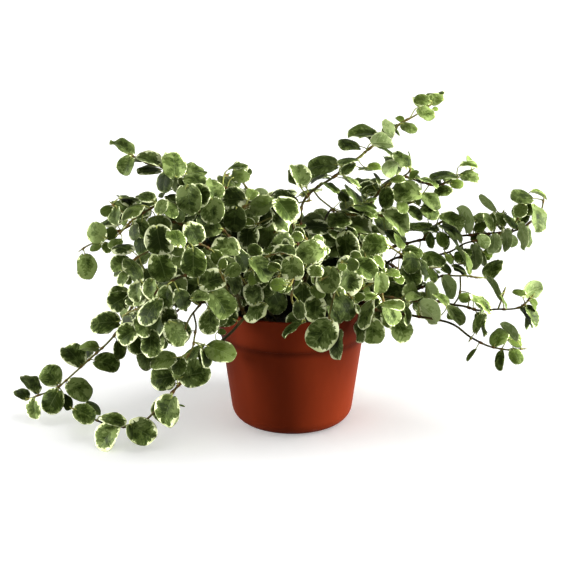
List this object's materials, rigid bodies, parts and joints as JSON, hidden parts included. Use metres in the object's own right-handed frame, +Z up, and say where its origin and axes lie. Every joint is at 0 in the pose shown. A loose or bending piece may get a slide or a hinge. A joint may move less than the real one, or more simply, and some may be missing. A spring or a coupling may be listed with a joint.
{
  "type": "potted creeping fig plant",
  "caption": "Trailing creeping fig with small round cream-edged leaves on wiry stems, growing out over the rim of a tapered round plastic nursery pot.",
  "frame": {"origin": "centre of the pot's flat foot, on the surface it stands on", "axes": "+Z up along the pot's axis; -Y towards the viewer of the picture; +X to the right, along the plant's widest spread"},
  "size_m": [0.4152, 0.204, 0.2534],
  "materials": {
    "pot": "satin",
    "soil": "matte",
    "leaf": "satin"
  },
  "bodies": {
    "root": {"pot": "pot", "soil": "soil", "runner_left": "leaf", "runner_front": "leaf", "shoot_top_left": "leaf", "twig_left": "leaf", "shoot_top_right": "leaf", "shoot_right_high": "leaf", "shoot_right_tip": "leaf", "shoot_right_mid": "leaf", "shoot_right_short": "leaf", "shoot_right_low": "leaf", "shoot_right_drop": "leaf", "crown_a": "leaf", "crown_b": "leaf", "crown_c": "leaf", "crown_d": "leaf", "crown_e": "leaf", "crown_f": "leaf", "crown_g": "leaf", "crown_h": "leaf", "crown_i": "leaf", "crown_j": "leaf", "crown_k": "leaf", "crown_l": "leaf", "crown_m": "leaf", "back_a": "leaf", "back_b": "leaf", "back_c": "leaf", "back_d": "leaf", "back_e": "leaf", "back_f": "leaf", "back_g": "leaf", "back_h": "leaf", "back_i": "leaf", "back_j": "leaf", "back_k": "leaf", "back_l": "leaf"}
  },
  "joints": []
}
